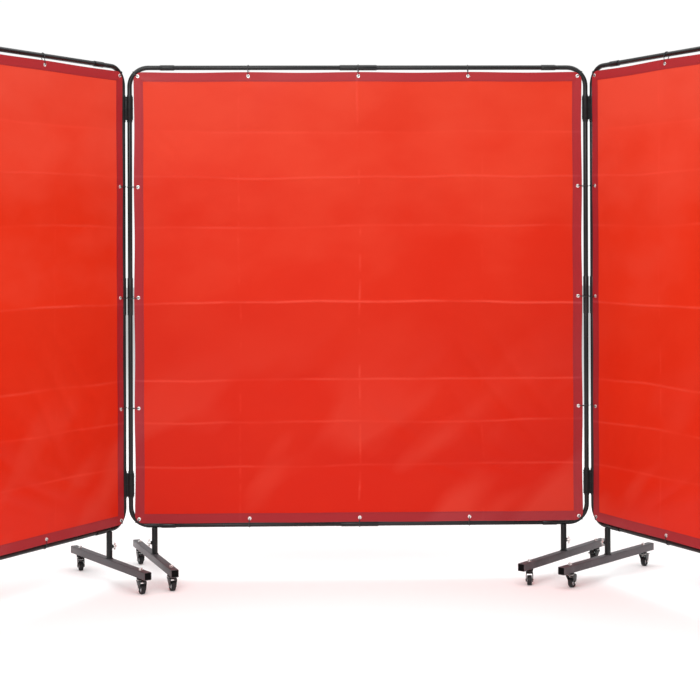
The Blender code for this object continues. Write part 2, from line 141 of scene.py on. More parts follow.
def at(origin, along_x):
    """The matrix of an upright local frame with its X axis along a level direction."""
    x = Vector((along_x[0], along_x[1], 0)).normalized()
    y = Vector((-x.y, x.x, 0))
    matrix = Matrix.Identity(4)
    for column, axis in enumerate((x, y, Vector((0, 0, 1)), Vector(origin))):
        for row in range(3):
            matrix[row][column] = axis[row]
    return matrix


def joint_place(name):
    return Vector(JOINTS[name]["pos_m"])


def level_direction(start, end):
    way = end - start
    return Vector((way.x, way.y, 0)).normalized()


def clip_height(level):
    low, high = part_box(f"left_clip_{level}")
    return (low.z + high.z) / 2


def floor_point(point):
    return Vector((point.x, point.y, 0))


left_line, right_line = joint_place("left_clip_turn"), joint_place("right_clip_turn")
HALF_WIDTH = (right_line.x - left_line.x) / 2
FRAME_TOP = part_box("centre_frame_upper")[1].z - SOCKET_RADIUS
FRAME_LOW = clip_height("bottom") - (FRAME_TOP - clip_height("top"))
FRAME_MIDDLE = (FRAME_TOP + FRAME_LOW) / 2
CLIP_HEIGHT = (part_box("left_clip_top")[1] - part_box("left_clip_top")[0]).z
CURTAIN_LOW, CURTAIN_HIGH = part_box("centre_curtain")
CURTAIN_HALF = (CURTAIN_HIGH.x - CURTAIN_LOW.x) / 2
CURTAIN_DEPTH = (CURTAIN_HIGH.y + CURTAIN_LOW.y) / 2 - left_line.y - HEM_THICKNESS / 2
HINGE_PITCH = (joint_place("right_wing_fold") - right_line).length
LOCK_HEIGHT = joint_place("centre_left_lock_turn").z
CASTER_REACH = (
    joint_place("centre_left_rear_caster_swivel") - joint_place("centre_left_front_caster_swivel")
).length / 2
BEAM_HALF = CASTER_REACH + 0.06
CASTER_HEIGHT = 0.06  # of the beam's underside
BEAM_TOP = CASTER_HEIGHT + BEAM_SIDE
POST_TOP = FRAME_LOW - TUBE_RADIUS - 0.0003
AXLE_HEIGHT = joint_place("centre_left_front_wheel_spin").z


def panel_place(name):
    if name == "centre":
        return at(floor_point((left_line + right_line) / 2), (1, 0))
    side = -1 if name == "left" else 1
    hinge = joint_place(f"{name}_wing_fold")
    outward = level_direction(hinge, joint_place(f"{name}_outer_foot_swivel"))
    return at(floor_point(hinge) + HALF_WIDTH * outward, side * outward)


def foot_place(name):
    front = joint_place(f"{name}_front_caster_swivel")
    rear = joint_place(f"{name}_rear_caster_swivel")
    back = level_direction(front, rear)
    return at(floor_point(joint_place(f"{name}_foot_swivel")), (back.y, -back.x))


def caster_place(name):
    swivel = joint_place(f"{name}_caster_swivel")
    back = level_direction(joint_place(f"{name}_wheel_spin"), swivel)
    return at(floor_point(swivel), (back.y, -back.x))


# Materials


class Paint:
    """A material with one main shader, and short ways to add the nodes that lead to it."""

    def __init__(self, name, colour, roughness, gloss=0.5, metallic=0.0):
        self.material = bpy.data.materials.new(name)
        self.material.use_nodes = True
        self.nodes, self.links = self.material.node_tree.nodes, self.material.node_tree.links
        self.shader = self.nodes["Principled BSDF"]
        self.put("Base Color", (*colour, 1))
        self.put("Roughness", roughness)
        self.put("Metallic", metallic)
        self.put("Specular IOR Level", gloss)

    def put(self, socket, value, node=None):
        """Sets an input of a node, or of the shader, to a plain value or links an output to it."""
        target = (node or self.shader).inputs[socket]
        if isinstance(value, bpy.types.NodeSocket):
            self.links.new(value, target)
        else:
            target.default_value = value

    def new(self, kind):
        return self.nodes.new(f"ShaderNode{kind}")

    def fed(self, node, output, inputs):
        """Gives an output of a node, once its inputs are set."""
        for socket, value in inputs.items():
            self.put(socket, value, node)
        return node.outputs[output]

    def place(self):
        return self.new("TexCoord").outputs["Object"]

    def noise(self, scale, detail=4.0, roughness=0.55, stretch=(1, 1, 1), turn=0.0, seed=0.0):
        """Noise in the object's own coordinates, turned about Y and shifted by a seed."""
        mapping = self.new("Mapping")
        mapping.vector_type = "TEXTURE"
        inputs = {"Vector": self.place(), "Rotation": (0, turn, 0), "Location": (seed, 0, seed)}
        mapped = self.fed(mapping, "Vector", {**inputs, "Scale": [1 / part for part in stretch]})
        inputs = {"Vector": mapped, "Scale": scale, "Detail": detail, "Roughness": roughness}
        return self.fed(self.new("TexNoise"), "Fac", inputs)

    def ramp(self, source, stops):
        """A colour ramp through (place, colour) stops, which rise."""
        node = self.new("ValToRGB")
        ends = node.color_ramp.elements
        for element, (place, colour) in ((ends[0], stops[0]), (ends[1], stops[-1])):
            element.position = place
            element.color = (*colour, 1)
        for place, colour in stops[1:-1]:
            node.color_ramp.elements.new(place).color = (*colour, 1)
        return self.fed(node, "Color", {"Fac": source})

    def math(self, operation, first, second):
        node = self.new("Math")
        node.operation = operation
        return self.fed(node, "Value", {0: first, 1: second})

    def mix(self, blend_type, factor, first, second):
        node = self.new("Mix")
        node.data_type, node.blend_type = "RGBA", blend_type
        return self.fed(node, "Result", {"Factor": factor, "A": first, "B": second})

    def remap(self, source, low, high, start=0.35, end=0.65):
        inputs = {"Value": source, "From Min": start, "From Max": end, "To Min": low, "To Max": high}
        return self.fed(self.new("MapRange"), "Result", inputs)

    def bump(self, height, strength, distance):
        inputs = {"Height": height, "Strength": strength, "Distance": distance}
        self.put("Normal", self.fed(self.new("Bump"), "Normal", inputs))


def mottled(paint, clouds, stops, rough_range):
    """Lets one noise vary both the colour and the roughness."""
    paint.put("Base Color", paint.ramp(clouds, stops))
    paint.put("Roughness", paint.remap(clouds, *rough_range))


def paint_black():
    """Semi-gloss powder coat: a faint orange peel and slightly uneven gloss."""
    paint = Paint("black_paint", (0.008, 0.0085, 0.0095), 0.3, 0.3)
    stops = [(0.3, (0.0055, 0.006, 0.0065)), (0.7, (0.010, 0.0105, 0.0115))]
    mottled(paint, paint.noise(6, 5, stretch=(1, 1, 0.4)), stops, (0.24, 0.36))
    paint.bump(paint.noise(900, 2), 0.12, 0.0004)
    return paint.material


def paint_hammered():
    """Dark brownish grey hammered paint: dimples a few millimetres wide with paler rims."""
    paint = Paint("hammered", (0.07, 0.06, 0.065), 0.5, 0.3)
    cells = paint.new("TexVoronoi")
    cells.feature = "SMOOTH_F1"
    dimples = paint.fed(cells, "Distance", {"Vector": paint.place(), "Scale": 260, "Smoothness": 0.7})
    wide = paint.noise(9, 6, 0.65)
    stops = [(0.28, (0.042, 0.035, 0.039)), (0.5, (0.066, 0.056, 0.062)), (0.75, (0.10, 0.088, 0.095))]
    shade = paint.ramp(dimples, [(0.0, (0.72, 0.7, 0.7)), (0.8, (1.25, 1.22, 1.22))])
    paint.put("Base Color", paint.mix("MULTIPLY", 0.5, paint.ramp(wide, stops), shade))
    paint.put("Roughness", paint.remap(wide, 0.3, 0.48))
    paint.bump(dimples, 0.35, 0.0006)
    return paint.material


def metal_zinc():
    """Bright zinc plate with fine brushing and a little dulling."""
    paint = Paint("zinc", (0.78, 0.78, 0.76), 0.25, metallic=1.0)
    stops = [(0.3, (0.66, 0.66, 0.65)), (0.7, (0.86, 0.86, 0.84))]
    mottled(paint, paint.noise(120, 4), stops, (0.2, 0.36))
    paint.bump(paint.noise(700, 3, stretch=(1, 1, 0.15)), 0.15, 0.0002)
    return paint.material


def plastic(name, dark, light, roughness, grain, gloss=0.5):
    """Moulded plastic or rubber: two close shades and a fine grain."""
    paint = Paint(name, dark, roughness, gloss)
    rough_range = (roughness - 0.06, roughness + 0.08)
    mottled(paint, paint.noise(60, 5), [(0.3, dark), (0.7, light)], rough_range)
    paint.bump(paint.noise(1400, 2), grain, 0.0003)
    return paint.material


def crease_highlight_stops(folds):
    """Stops of a ramp that is bright only on the fold lines: the mask of the painted highlights there."""
    black = (0, 0, 0)
    peak = max(abs(depth) for line, depth, width in folds)
    stops = [(0.0, black)]
    for line, depth, width in sorted(folds):
        level = 0.35 + 0.65 * abs(depth) / peak
        stops += [(line - CREASE_HALF, black), (line, (level,) * 3), (line + CREASE_HALF, black)]
    return stops + [(1.0, black)]


def facet_shade_stops(folds):
    """Stops of a ramp of painted shade, which steps a little from one folded facet to the next."""
    edges = [0.0] + sorted(line for line, depth, width in folds) + [1.0]
    stops = []
    for start, end, tone in zip(edges, edges[1:], FACET_SHADES):
        stops += [(start + 0.004, (tone,) * 3), (end - 0.004, (tone,) * 3)]
    return stops


def vinyl(name, stops, painted_sheen, roughness, gloss, coat, seed):
    """Soft PVC sheet: paler upwards as painted light from above, with painted highlights on its creases,
    painted shade stepping from one folded facet to the next, and soft streaks of painted sheen where it is
    rumpled.
    """
    paint = Paint(name, stops[0][1], roughness, gloss)
    split = paint.new("SeparateXYZ")
    paint.put("Vector", paint.place(), split)
    height = paint.remap(split.outputs["Z"], 0.0, 1.0, CURTAIN_LOW.z, CURTAIN_HIGH.z)
    across = paint.remap(split.outputs["X"], 0.0, 1.0, -CURTAIN_HALF, CURTAIN_HALF)
    cloudy = paint.noise(2.2, 5, 0.5, (1, 1, 1.6), seed=seed)
    # Paler upwards: the stops paint light falling from above, shifted by a random cloudy tone
    colour = paint.ramp(paint.math("ADD", height, paint.remap(cloudy, -0.14, 0.14)), stops)
    sway = paint.remap(paint.noise(1.3, 2, seed=seed + 4), -0.004, 0.004)
    on_height, on_width = (paint.math("ADD", share, sway) for share in (height, across))
    # Painted shade: a tone for each folded facet, as if each faced the light a little differently
    colour = paint.mix("MULTIPLY", 1.0, colour, paint.ramp(on_height, facet_shade_stops(FOLDS_ACROSS)))
    broken = paint.noise(2.4, 4, 0.6, (1, 1, 3.0), seed=seed + 2)
    # Painted highlights along the fold lines, across and down the sheet
    level = paint.ramp(on_height, crease_highlight_stops(FOLDS_ACROSS))
    level = paint.math("MULTIPLY", level, paint.remap(broken, 0.3, 1.0, 0.42, 0.56))
    upright = paint.ramp(on_width, crease_highlight_stops(FOLDS_DOWN))
    upright = paint.math("MULTIPLY", upright, paint.remap(broken, 0.0, 0.5, 0.46, 0.62))
    creased = paint.math("MAXIMUM", level, upright)
    # Soft streaks of painted sheen where the sheet is rumpled, stronger low on it
    rumpled = paint.noise(1.7, 2.5, 0.55, (0.6, 1, 1.5), turn=-0.7, seed=seed + 7)
    streaks = paint.remap(rumpled, 0.0, 1.0, 0.51, 0.60)
    lowness = paint.remap(height, 0.5, 0.04, 0.08, 0.45)
    colour = paint.mix("MIX", paint.math("MULTIPLY", streaks, lowness), colour, (*painted_sheen, 1))
    # Paler still on the fold lines: the painted highlights
    colour = paint.mix("MIX", creased, colour, (*(1.15 * part for part in painted_sheen), 1))
    paint.put("Base Color", colour)
    paint.put("Roughness", paint.remap(cloudy, roughness - 0.05, roughness + 0.08))
    paint.put("Coat Weight", coat)
    paint.put("Coat Roughness", 0.22)
    grain = paint.math("MULTIPLY", paint.noise(520, 3), 0.08)
    paint.bump(paint.math("ADD", grain, creased), 0.35, 0.0012)
    return paint.material


# Colours from a low to a high place on the sheet and its hem, paler upwards as painted light from above,
# and the paler colour of the painted sheen and of the painted highlights on the folds
SHEET_STOPS = [(0.05, (0.525, 0.0135, 0.0028)), (0.55, (0.55, 0.0205, 0.0048)), (0.98, (0.6, 0.042, 0.016))]
SHEET_PAINTED_SHEEN = (0.60, 0.056, 0.032)
HEM_STOPS = [(0.05, (0.29, 0.009, 0.013)), (0.55, (0.31, 0.01, 0.014)), (0.98, (0.33, 0.015, 0.019))]
HEM_PAINTED_SHEEN = (0.34, 0.035, 0.042)
WING_PAINTED_LIGHT = (1.08, 1.4, 1.9)  # the wings' sheets are painted a little paler, standing in for more light falling on them


def vinyl_paints(panel, seed):
    """The sheet and hem materials of one panel."""
    # The wings' sheets get painted light; the centre's keep the plain stops
    painted_light = (1, 1, 1) if panel == "centre" else WING_PAINTED_LIGHT
    stops = [(place, tuple(c * t for c, t in zip(colour, painted_light))) for place, colour in SHEET_STOPS]
    return {
        f"{panel}_sheet": vinyl(f"red_vinyl_{panel}", stops, SHEET_PAINTED_SHEEN, 0.36, 0.1, 0.02, seed),
        f"{panel}_hem": vinyl(f"hem_vinyl_{panel}", HEM_STOPS, HEM_PAINTED_SHEEN, 0.45, 0.25, 0.04, seed),
    }


PAINTS = {
    "frame": paint_black(),
    "beam": paint_hammered(),
    "zinc": metal_zinc(),
    "clip": plastic("clip_plastic", (0.004, 0.004, 0.0045), (0.009, 0.009, 0.010), 0.42, 0.2, 0.2),
    "cap": plastic("cap_plastic", (0.0015, 0.0015, 0.0018), (0.004, 0.004, 0.0045), 0.6, 0.15, 0.06),
    "fork": plastic("fork_plastic", (0.005, 0.005, 0.0055), (0.010, 0.010, 0.011), 0.3, 0.1, 0.3),
    "tyre": plastic("tyre_rubber", (0.008, 0.008, 0.009), (0.018, 0.018, 0.02), 0.5, 0.3, 0.3),
    "hub": plastic("hub_plastic", (0.5, 0.5, 0.52), (0.66, 0.66, 0.68), 0.3, 0.1),
    "pedal": plastic("pedal_plastic", (0.01, 0.01, 0.011), (0.02, 0.02, 0.021), 0.34, 0.2),
    "tie": plastic("tie_nylon", (0.008, 0.008, 0.009), (0.016, 0.016, 0.018), 0.4, 0.1),
    "thread": plastic("seam_thread", (0.12, 0.010, 0.012), (0.18, 0.018, 0.02), 0.7, 0.5),
}
for panel_number, panel_word in enumerate(PANELS):
    PAINTS.update(vinyl_paints(panel_word, 5.3 * panel_number))

# The record's slot for each paint. Every sheet, hem and thread is vinyl
SLOTS = {
    "frame": "frame_paint",
    "beam": "hammered_paint",
    "zinc": "zinc",
    "clip": "clip_plastic",
    "cap": "fork_plastic",
    "fork": "fork_plastic",
    "tyre": "wheel_rubber",
    "hub": "zinc",
    "pedal": "pedal_plastic",
    "tie": "clip_plastic",
}


# Shapes


def mesh_from(shape, name, sharp=35):
    """The finished mesh of a bmesh, shaded smooth but for its sharp edges."""
    bmesh.ops.recalc_face_normals(shape, faces=shape.faces)
    mesh = bpy.data.meshes.new(name)
    shape.to_mesh(mesh)
    shape.free()
    mesh.shade_smooth()
    mesh.set_sharp_from_angle(angle=math.radians(sharp))
    return mesh


def joined(name, meshes, sharp=35):
    """Several meshes as one. They stay separate shells."""
    shape = bmesh.new()
    for mesh in meshes:
        shape.from_mesh(mesh)
    return mesh_from(shape, name, sharp)


def moved(mesh, matrix):
    mesh = mesh.copy()
    mesh.transform(matrix)
    return mesh


def shifted(mesh, place):
    return moved(mesh, Matrix.Translation(place))


def turned(mesh, place, turn):
    return moved(mesh, Matrix.Translation(place) @ turn)


def from_object(source, name, sharp=35):
    """Takes the evaluated mesh of a scratch object, and removes the object."""
    bpy.context.scene.collection.objects.link(source)
    bpy.context.view_layer.update()
    graph = bpy.context.evaluated_depsgraph_get()
    mesh = bpy.data.meshes.new_from_object(source.evaluated_get(graph))
    bpy.data.objects.remove(source)
    shape = bmesh.new()
    shape.from_mesh(mesh)
    bmesh.ops.remove_doubles(shape, verts=shape.verts, dist=1e-6)
    return mesh_from(shape, name, sharp)


def add_thickness(source, thickness, offset=0, even=False):
    skin = source.modifiers.new("skin", "SOLIDIFY")
    skin.thickness = thickness
    skin.offset = offset
    skin.use_even_offset = even


def pipe(name, stations, sides=28, wall=0.0, closed=False):
    """A round tube through (point, radius) stations: solid, or hollow where it has a wall."""
    curve = bpy.data.curves.new(name, "CURVE")
    curve.dimensions = "3D"
    curve.bevel_depth = 1
    curve.bevel_resolution = sides // 2 - 2
    curve.use_fill_caps = not wall and not closed
    spline = curve.splines.new("POLY")
    spline.points.add(len(stations) - 1)
    spline.use_cyclic_u = closed
    for point, (place, radius) in zip(spline.points, stations):
        point.co = (*place, 1)
        point.radius = radius
    source = bpy.data.objects.new(name, curve)
    if wall:
        add_thickness(source, wall, -1, True)
    return from_object(source, name)


def lathe(name, profile, steps=40, axis="Z", closed=False, sharp=30):
    """Turns a profile of (along the axis, radius) round it."""
    shape = bmesh.new()
    ring = [shape.verts.new((radius, 0, along)) for along, radius in profile]
    pairs = list(zip(ring, ring[1:])) + ([(ring[-1], ring[0])] if closed else [])
    edges = [shape.edges.new(pair) for pair in pairs]
    whole = {"angle": 2 * math.pi, "steps": steps, "use_merge": True}
    bmesh.ops.spin(shape, geom=ring + edges, cent=(0, 0, 0), axis=(0, 0, 1), **whole)
    bmesh.ops.remove_doubles(shape, verts=shape.verts, dist=1e-6)
    turns = {"X": Matrix.Rotation(math.pi / 2, 3, "Y"), "Y": Matrix.Rotation(-math.pi / 2, 3, "X")}
    if axis in turns:
        bmesh.ops.rotate(shape, cent=(0, 0, 0), matrix=turns[axis], verts=shape.verts)
    return mesh_from(shape, name, sharp)


def rounded_rod(name, length, radius, edge, axis="Z", steps=28):
    """A closed cylinder centred on the origin, with rounded rims."""
    half = length / 2
    rim = arc((half - edge, radius - edge), edge, 90, 0, 4)
    profile = [(-x, r) for x, r in reversed(rim)]
    profile = [(-half, 0)] + profile + rim + [(half, 0)]
    return lathe(name, profile, steps, axis)


def rounded_box(name, low, high, edge, segments=3):
    shape = bmesh.new()
    bmesh.ops.create_cube(shape, size=1)
    low, high = Vector(low), Vector(high)
    bmesh.ops.scale(shape, vec=high - low, verts=shape.verts)
    bmesh.ops.translate(shape, vec=(low + high) / 2, verts=shape.verts)
    bmesh.ops.bevel(shape, geom=shape.edges[:], offset=edge, segments=segments, profile=0.5, affect="EDGES")
    return mesh_from(shape, name)


def plate(name, outline, thickness, edge=0.0, holes=()):
    """A flat plate in XY, centred on z = 0, with bevelled rims."""
    curve = bpy.data.curves.new(name, "CURVE")
    curve.dimensions = "2D"
    curve.fill_mode = "BOTH"
    curve.extrude = thickness / 2
    for points in [outline, *holes]:
        spline = curve.splines.new("POLY")
        spline.points.add(len(points) - 1)
        for point, (x, y) in zip(spline.points, points):
            point.co = (x, y, 0, 1)
        spline.use_cyclic_u = True
    source = bpy.data.objects.new(name, curve)
    if edge:
        weld = source.modifiers.new("weld", "WELD")
        weld.merge_threshold = 1e-6
        rim = source.modifiers.new("rim", "BEVEL")
        rim.width = edge
        rim.segments = 3
        rim.limit_method = "ANGLE"
        rim.angle_limit = math.radians(50)
    return from_object(source, name)


def arc_angles(start, end, steps):
    """Even angles from start to end, given in degrees and returned in radians, both included."""
    return [math.radians(start + (end - start) * n / steps) for n in range(steps + 1)]


def arc(centre, radius, start, end, steps):
    """Points on a circle between two angles in degrees."""
    angles = arc_angles(start, end, steps)
    return [(centre[0] + radius * math.cos(a), centre[1] + radius * math.sin(a)) for a in angles]


def cut(base, cutters, name):
    """The base mesh less the cutters, by an exact Boolean."""
    source = bpy.data.objects.new(name, base)
    helper = bpy.data.objects.new("cutter", joined("cutter", cutters))
    bpy.context.scene.collection.objects.link(helper)
    step = source.modifiers.new("cut", "BOOLEAN")
    step.operation = "DIFFERENCE"
    step.solver = "EXACT"
    step.object = helper
    made = from_object(source, name)
    bpy.data.objects.remove(helper)
    return made


def add(name, mesh, paint, body, matrix, *nodes):
    """Puts a mesh in place as a piece that rides on a CAD body and stands for CAD nodes."""
    piece = bpy.data.objects.new(name, mesh)
    bpy.context.scene.collection.objects.link(piece)
    if not mesh.materials:
        mesh.materials.append(PAINTS[paint])
    piece.matrix_world = matrix
    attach(piece, body)
    SLOTS.get(paint, "vinyl")
    if nodes:
        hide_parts(*nodes)
    return piece


# Frame tubes


def flared(start, end, socket):
    """Stations of a corner's leg from its open socket at start to the bend at end."""
    start, end = Vector(start), Vector(end)
    length = (end - start).length
    lip = 0.0012
    return [
        (start, SOCKET_RADIUS - 0.0004),
        (start.lerp(end, lip / length), SOCKET_RADIUS),
        (start.lerp(end, (socket - FLARE) / length), SOCKET_RADIUS),
        (start.lerp(end, socket / length), TUBE_RADIUS),
        (end, TUBE_RADIUS),
    ]


def corner_mesh(side, level):
    """A bent corner with a flared socket on each leg. side is -1 for left, and level is -1 for low."""
    z = FRAME_TOP if level > 0 else FRAME_LOW
    bend_x, bend_z = side * (HALF_WIDTH - BEND_RADIUS), z - level * BEND_RADIUS
    upright = flared(
        (side * HALF_WIDTH, 0, z - level * SIDE_SOCKET[1]),
        (side * HALF_WIDTH, 0, bend_z),
        SIDE_SOCKET[1] - SIDE_SOCKET[0],
    )
    lying = flared(
        (side * (HALF_WIDTH - LEVEL_SOCKET[1]), 0, z),
        (bend_x, 0, z),
        LEVEL_SOCKET[1] - LEVEL_SOCKET[0],
    )
    start = 0 if side > 0 else 180
    points = arc((bend_x, bend_z), BEND_RADIUS, start, start + level * side * 90, 12)[1:-1]
    bend = [(Vector((x, 0, height)), TUBE_RADIUS) for x, height in points]
    return pipe("corner", upright + bend + lying[::-1], wall=SLEEVE_WALL)


def straight(name, start, end, radius=TUBE_RADIUS, wall=0.0):
    start, end = Vector(start), Vector(end)
    lip = (end - start).normalized() * 0.001
    eased = radius - 0.0004
    stations = [(start, eased), (start + lip, radius), (end - lip, radius), (end, eased)]
    return pipe(name, stations, wall=wall)


def frame_meshes():
    """{name: mesh} of one panel's frame."""
    made = {}
    half, gap = SLEEVE_LENGTH / 2, TUBE_GAP / 2
    up_end = FRAME_TOP - SIDE_SOCKET[1] + SOCKET_OVERLAP
    low_end = FRAME_LOW + SIDE_SOCKET[1] - SOCKET_OVERLAP
    far = HALF_WIDTH - LEVEL_SOCKET[1] + SOCKET_OVERLAP
    for side, word in ((-1, "left"), (1, "right")):
        x = side * HALF_WIDTH
        made[f"corner_top_{word}"] = corner_mesh(side, 1)
        made[f"corner_low_{word}"] = corner_mesh(side, -1)
        made[f"tube_{word}_upper"] = straight("tube", (x, 0, FRAME_MIDDLE + gap), (x, 0, up_end))
        made[f"tube_{word}_lower"] = straight("tube", (x, 0, FRAME_MIDDLE - gap), (x, 0, low_end))
        ends = (x, 0, FRAME_MIDDLE - half), (x, 0, FRAME_MIDDLE + half)
        made[f"sleeve_{word}"] = straight("sleeve", *ends, SOCKET_RADIUS, SLEEVE_WALL)
        for z, level in ((FRAME_TOP, "top"), (FRAME_LOW, "bottom")):
            made[f"tube_{level}_{word}"] = straight("tube", (side * gap, 0, z), (side * far, 0, z))
        peg_x = side * (HALF_WIDTH - FOOT_INSET)
        peg_top = FRAME_LOW - TUBE_RADIUS
        ends = (peg_x, 0, peg_top - PEG_LENGTH), (peg_x, 0, peg_top + 0.001)
        made[f"peg_{word}"] = straight("peg", *ends, TUBE_RADIUS - 0.0003, 0.0015)
    for z, level in ((FRAME_TOP, "top"), (FRAME_LOW, "bottom")):
        ends = (-half, 0, z), (half, 0, z)
        made[f"sleeve_{level}"] = straight("sleeve", *ends, SOCKET_RADIUS, SLEEVE_WALL)
    return made


def add_frame(panel, meshes, body, place):
    stands_for = {
        "corner_top_left": f"{panel}_frame_upper",
        "corner_low_left": f"{panel}_frame_lower_left",
        "corner_low_right": f"{panel}_frame_lower_right",
    }
    for name, mesh in meshes.items():
        nodes = [stands_for[name]] if name in stands_for else []
        add(f"{panel}_{name}", mesh, "frame", body, place, *nodes)


# Curtains

SHEET_WIDTH = 2 * CURTAIN_HALF
SHEET_HEIGHT = CURTAIN_HIGH.z - CURTAIN_LOW.z


def grommet_points():
    """(x, z, outward) of each grommet. outward points to the tube that it is tied to."""
    inset, last = GROMMET_INSET, GROMMETS_A_SIDE - 1
    xs = [(-CURTAIN_HALF + inset) + (SHEET_WIDTH - 2 * inset) * n / last for n in range(GROMMETS_A_SIDE)]
    zs = [(CURTAIN_LOW.z + inset) + (SHEET_HEIGHT - 2 * inset) * n / last for n in range(GROMMETS_A_SIDE)]
    found = []
    for i, x in enumerate(xs):
        for k, z in enumerate(zs):
            side = (i == last) - (i == 0)
            level = (k == last) - (k == 0)
            if side or level:
                found.append((x, z, Vector((side, level)).normalized()))
    return found


def fold_depth(share, length, lines, drift):
    """How far packing folds push the sheet at a share of the way along it."""
    total = 0.0
    for line, depth, width in lines:
        away = abs((share - line) * length + drift)
        total += depth * math.exp(-away / width)
    return total


def pleat(turns):
    """A wave with crisp ridges and broad hollows, between -1 and 1."""
    wave = math.sin(2 * math.pi * turns)
    return 1 - 2 * abs(wave) ** 0.8


def sheet_depth(x, z, seed):
    """How far the sheet stands from its plane towards the back, in metres."""
    u = (x + CURTAIN_HALF) / SHEET_WIDTH
    v = (z - CURTAIN_LOW.z) / SHEET_HEIGHT
    edge = min(u, 1 - u, v, 1 - v)
    free = 1 - math.exp(-max(edge, 0) / 0.03)
    drift = 0.004 * noise.noise((x * 1.5, seed, 0.0))
    folds = fold_depth(v, SHEET_HEIGHT, FOLDS_ACROSS, drift)
    drift = 0.004 * noise.noise((z * 1.5, seed, 5.0))
    folds += fold_depth(u, SHEET_WIDTH, FOLDS_DOWN, drift) * (0.55 + 0.45 * noise.noise((z * 2, seed, 9.0)))
    billow = 0.0060 * noise.noise((x * 1.3, z * 1.1, seed))
    billow += 0.0022 * noise.noise((x * 4.5, z * 3.6, seed + 11))
    for n, (across, up, wide, tall, slope, wave, depth) in enumerate(CREASED_PATCHES):
        dx, dz = (u - across) * SHEET_WIDTH, (v - up) * SHEET_HEIGHT
        fade = math.exp(-((dx / wide) ** 2) - (dz / tall) ** 2)
        if fade > 0.01:
            lean = (dx * slope + dz) / math.hypot(slope, 1)
            bend = 0.22 * noise.noise((x * 2.2, z * 2.2, seed + n))
            billow += depth * fade * pleat(lean / wave + bend)
    return (folds + billow) * free + pull_depth(x, z, seed) * (1 - 0.4 * free)


def pull_depth(x, z, seed):
    """Small gathers that fan out from each grommet."""
    total = 0.0
    for n, (gx, gz, outward) in enumerate(GROMMETS):
        dx, dz = x - gx, z - gz
        away = math.hypot(dx, dz)
        if away < 0.22:
            angle = math.atan2(dz * outward.x - dx * outward.y, -dx * outward.x - dz * outward.y)
            fan = math.cos(5 * angle + n) * math.exp(-((angle / 1.1) ** 2))
            total += 0.0011 * fan * (away / 0.03) * math.exp(-away / 0.045)
    return total


def lines_across(low, high):
    """Grid lines: hem cells at both ends, and even cells between them."""
    hem = [HEM_WIDTH * n / HEM_CELLS for n in range(HEM_CELLS)]
    inner = high - low - 2 * HEM_WIDTH
    count = round(inner / CELL)
    middle = [HEM_WIDTH + inner * n / count for n in range(count + 1)]
    ends = [high - low - h for h in reversed(hem)]
    return [low + t for t in hem + middle + ends]


def edge_dip(share, n):
    """The free edge between two ties draws in a little."""
    between_ties = (share * (GROMMETS_A_SIDE - 1)) % 1
    return 0.0022 * math.sin(math.pi * between_ties) ** 2 * (1 + 0.3 * math.sin(5 * n))


def rounded_corner(x, z):
    """Draws a place in the curtain's rectangle in to the same rectangle with round corners."""
    middle = (CURTAIN_LOW.z + CURTAIN_HIGH.z) / 2
    a = abs(x) - (CURTAIN_HALF - CORNER_RADIUS)
    b = abs(z - middle) - (SHEET_HEIGHT / 2 - CORNER_RADIUS)
    if a <= 0 or b <= 0:
        return x, z
    keep = max(a, b) / math.hypot(a, b)
    return (
        math.copysign(CURTAIN_HALF - CORNER_RADIUS + a * keep, x),
        middle + math.copysign(SHEET_HEIGHT / 2 - CORNER_RADIUS + b * keep, z - middle),
    )


GROMMETS = grommet_points()


def sheet_grid(seed):
    """The sheet's points on its grid: points[i][k] is at column i and row k."""
    xs = lines_across(-CURTAIN_HALF, CURTAIN_HALF)
    zs = lines_across(CURTAIN_LOW.z, CURTAIN_HIGH.z)
    points = []
    for x in xs:
        column = []
        for z in zs:
            u, v = (x + CURTAIN_HALF) / SHEET_WIDTH, (z - CURTAIN_LOW.z) / SHEET_HEIGHT
            left, low = math.exp(-u / 0.05), math.exp(-v / 0.05)
            right, high = math.exp(-(1 - u) / 0.05), math.exp(-(1 - v) / 0.05)
            px, pz = rounded_corner(x, z)
            px += edge_dip(v, seed) * (left - right)
            pz -= edge_dip(u, seed + 1) * (LOW_EDGE_SAG * low + high)
            column.append(Vector((px, CURTAIN_DEPTH + sheet_depth(x, z, seed), pz)))
        points.append(column)
    return points


def grid_mesh(points, name, thickness, keeps):
    """A thick skin over the grid's cells that keeps accepts by their column and row."""
    shape = bmesh.new()
    verts = [[shape.verts.new(p) for p in column] for column in points]
    for i in range(len(verts) - 1):
        for k in range(len(verts[0]) - 1):
            if keeps(i, k):
                shape.faces.new([verts[i][k], verts[i + 1][k], verts[i + 1][k + 1], verts[i][k + 1]])
    loose = [v for v in shape.verts if not v.link_faces]
    bmesh.ops.delete(shape, geom=loose, context="VERTS")
    source = bpy.data.objects.new(name, mesh_from(shape, name, 60))
    add_thickness(source, thickness)
    return from_object(source, name, 60)


def sheet_mesh(points):
    """The whole sheet, left open under each grommet, where the hem covers it."""

    def is_clear(i, k):
        corners = points[i][k], points[i + 1][k], points[i + 1][k + 1], points[i][k + 1]
        middle = sum(corners, Vector()) / 4
        away = min(math.hypot(middle.x - gx, middle.z - gz) for gx, gz, _ in GROMMETS)
        return away > GROMMET_RADIUS + 0.002

    return grid_mesh(points, "sheet", SHEET_THICKNESS, is_clear)


def hem_mesh(points):
    """A doubled border, with a round hole at each grommet."""

    def in_border(i, k):
        last_column, last_row = len(points) - 2, len(points[0]) - 2
        return min(i, k, last_column - i, last_row - k) < HEM_CELLS

    mesh = grid_mesh(points, "hem", HEM_THICKNESS, in_border)
    punch = rounded_rod("punch", 0.02, GROMMET_HOLE + 0.0006, 0.0002, "Y", 16)
    return cut(mesh, [shifted(punch, surface_point(points, x, z)) for x, z, _ in GROMMETS], "hem")


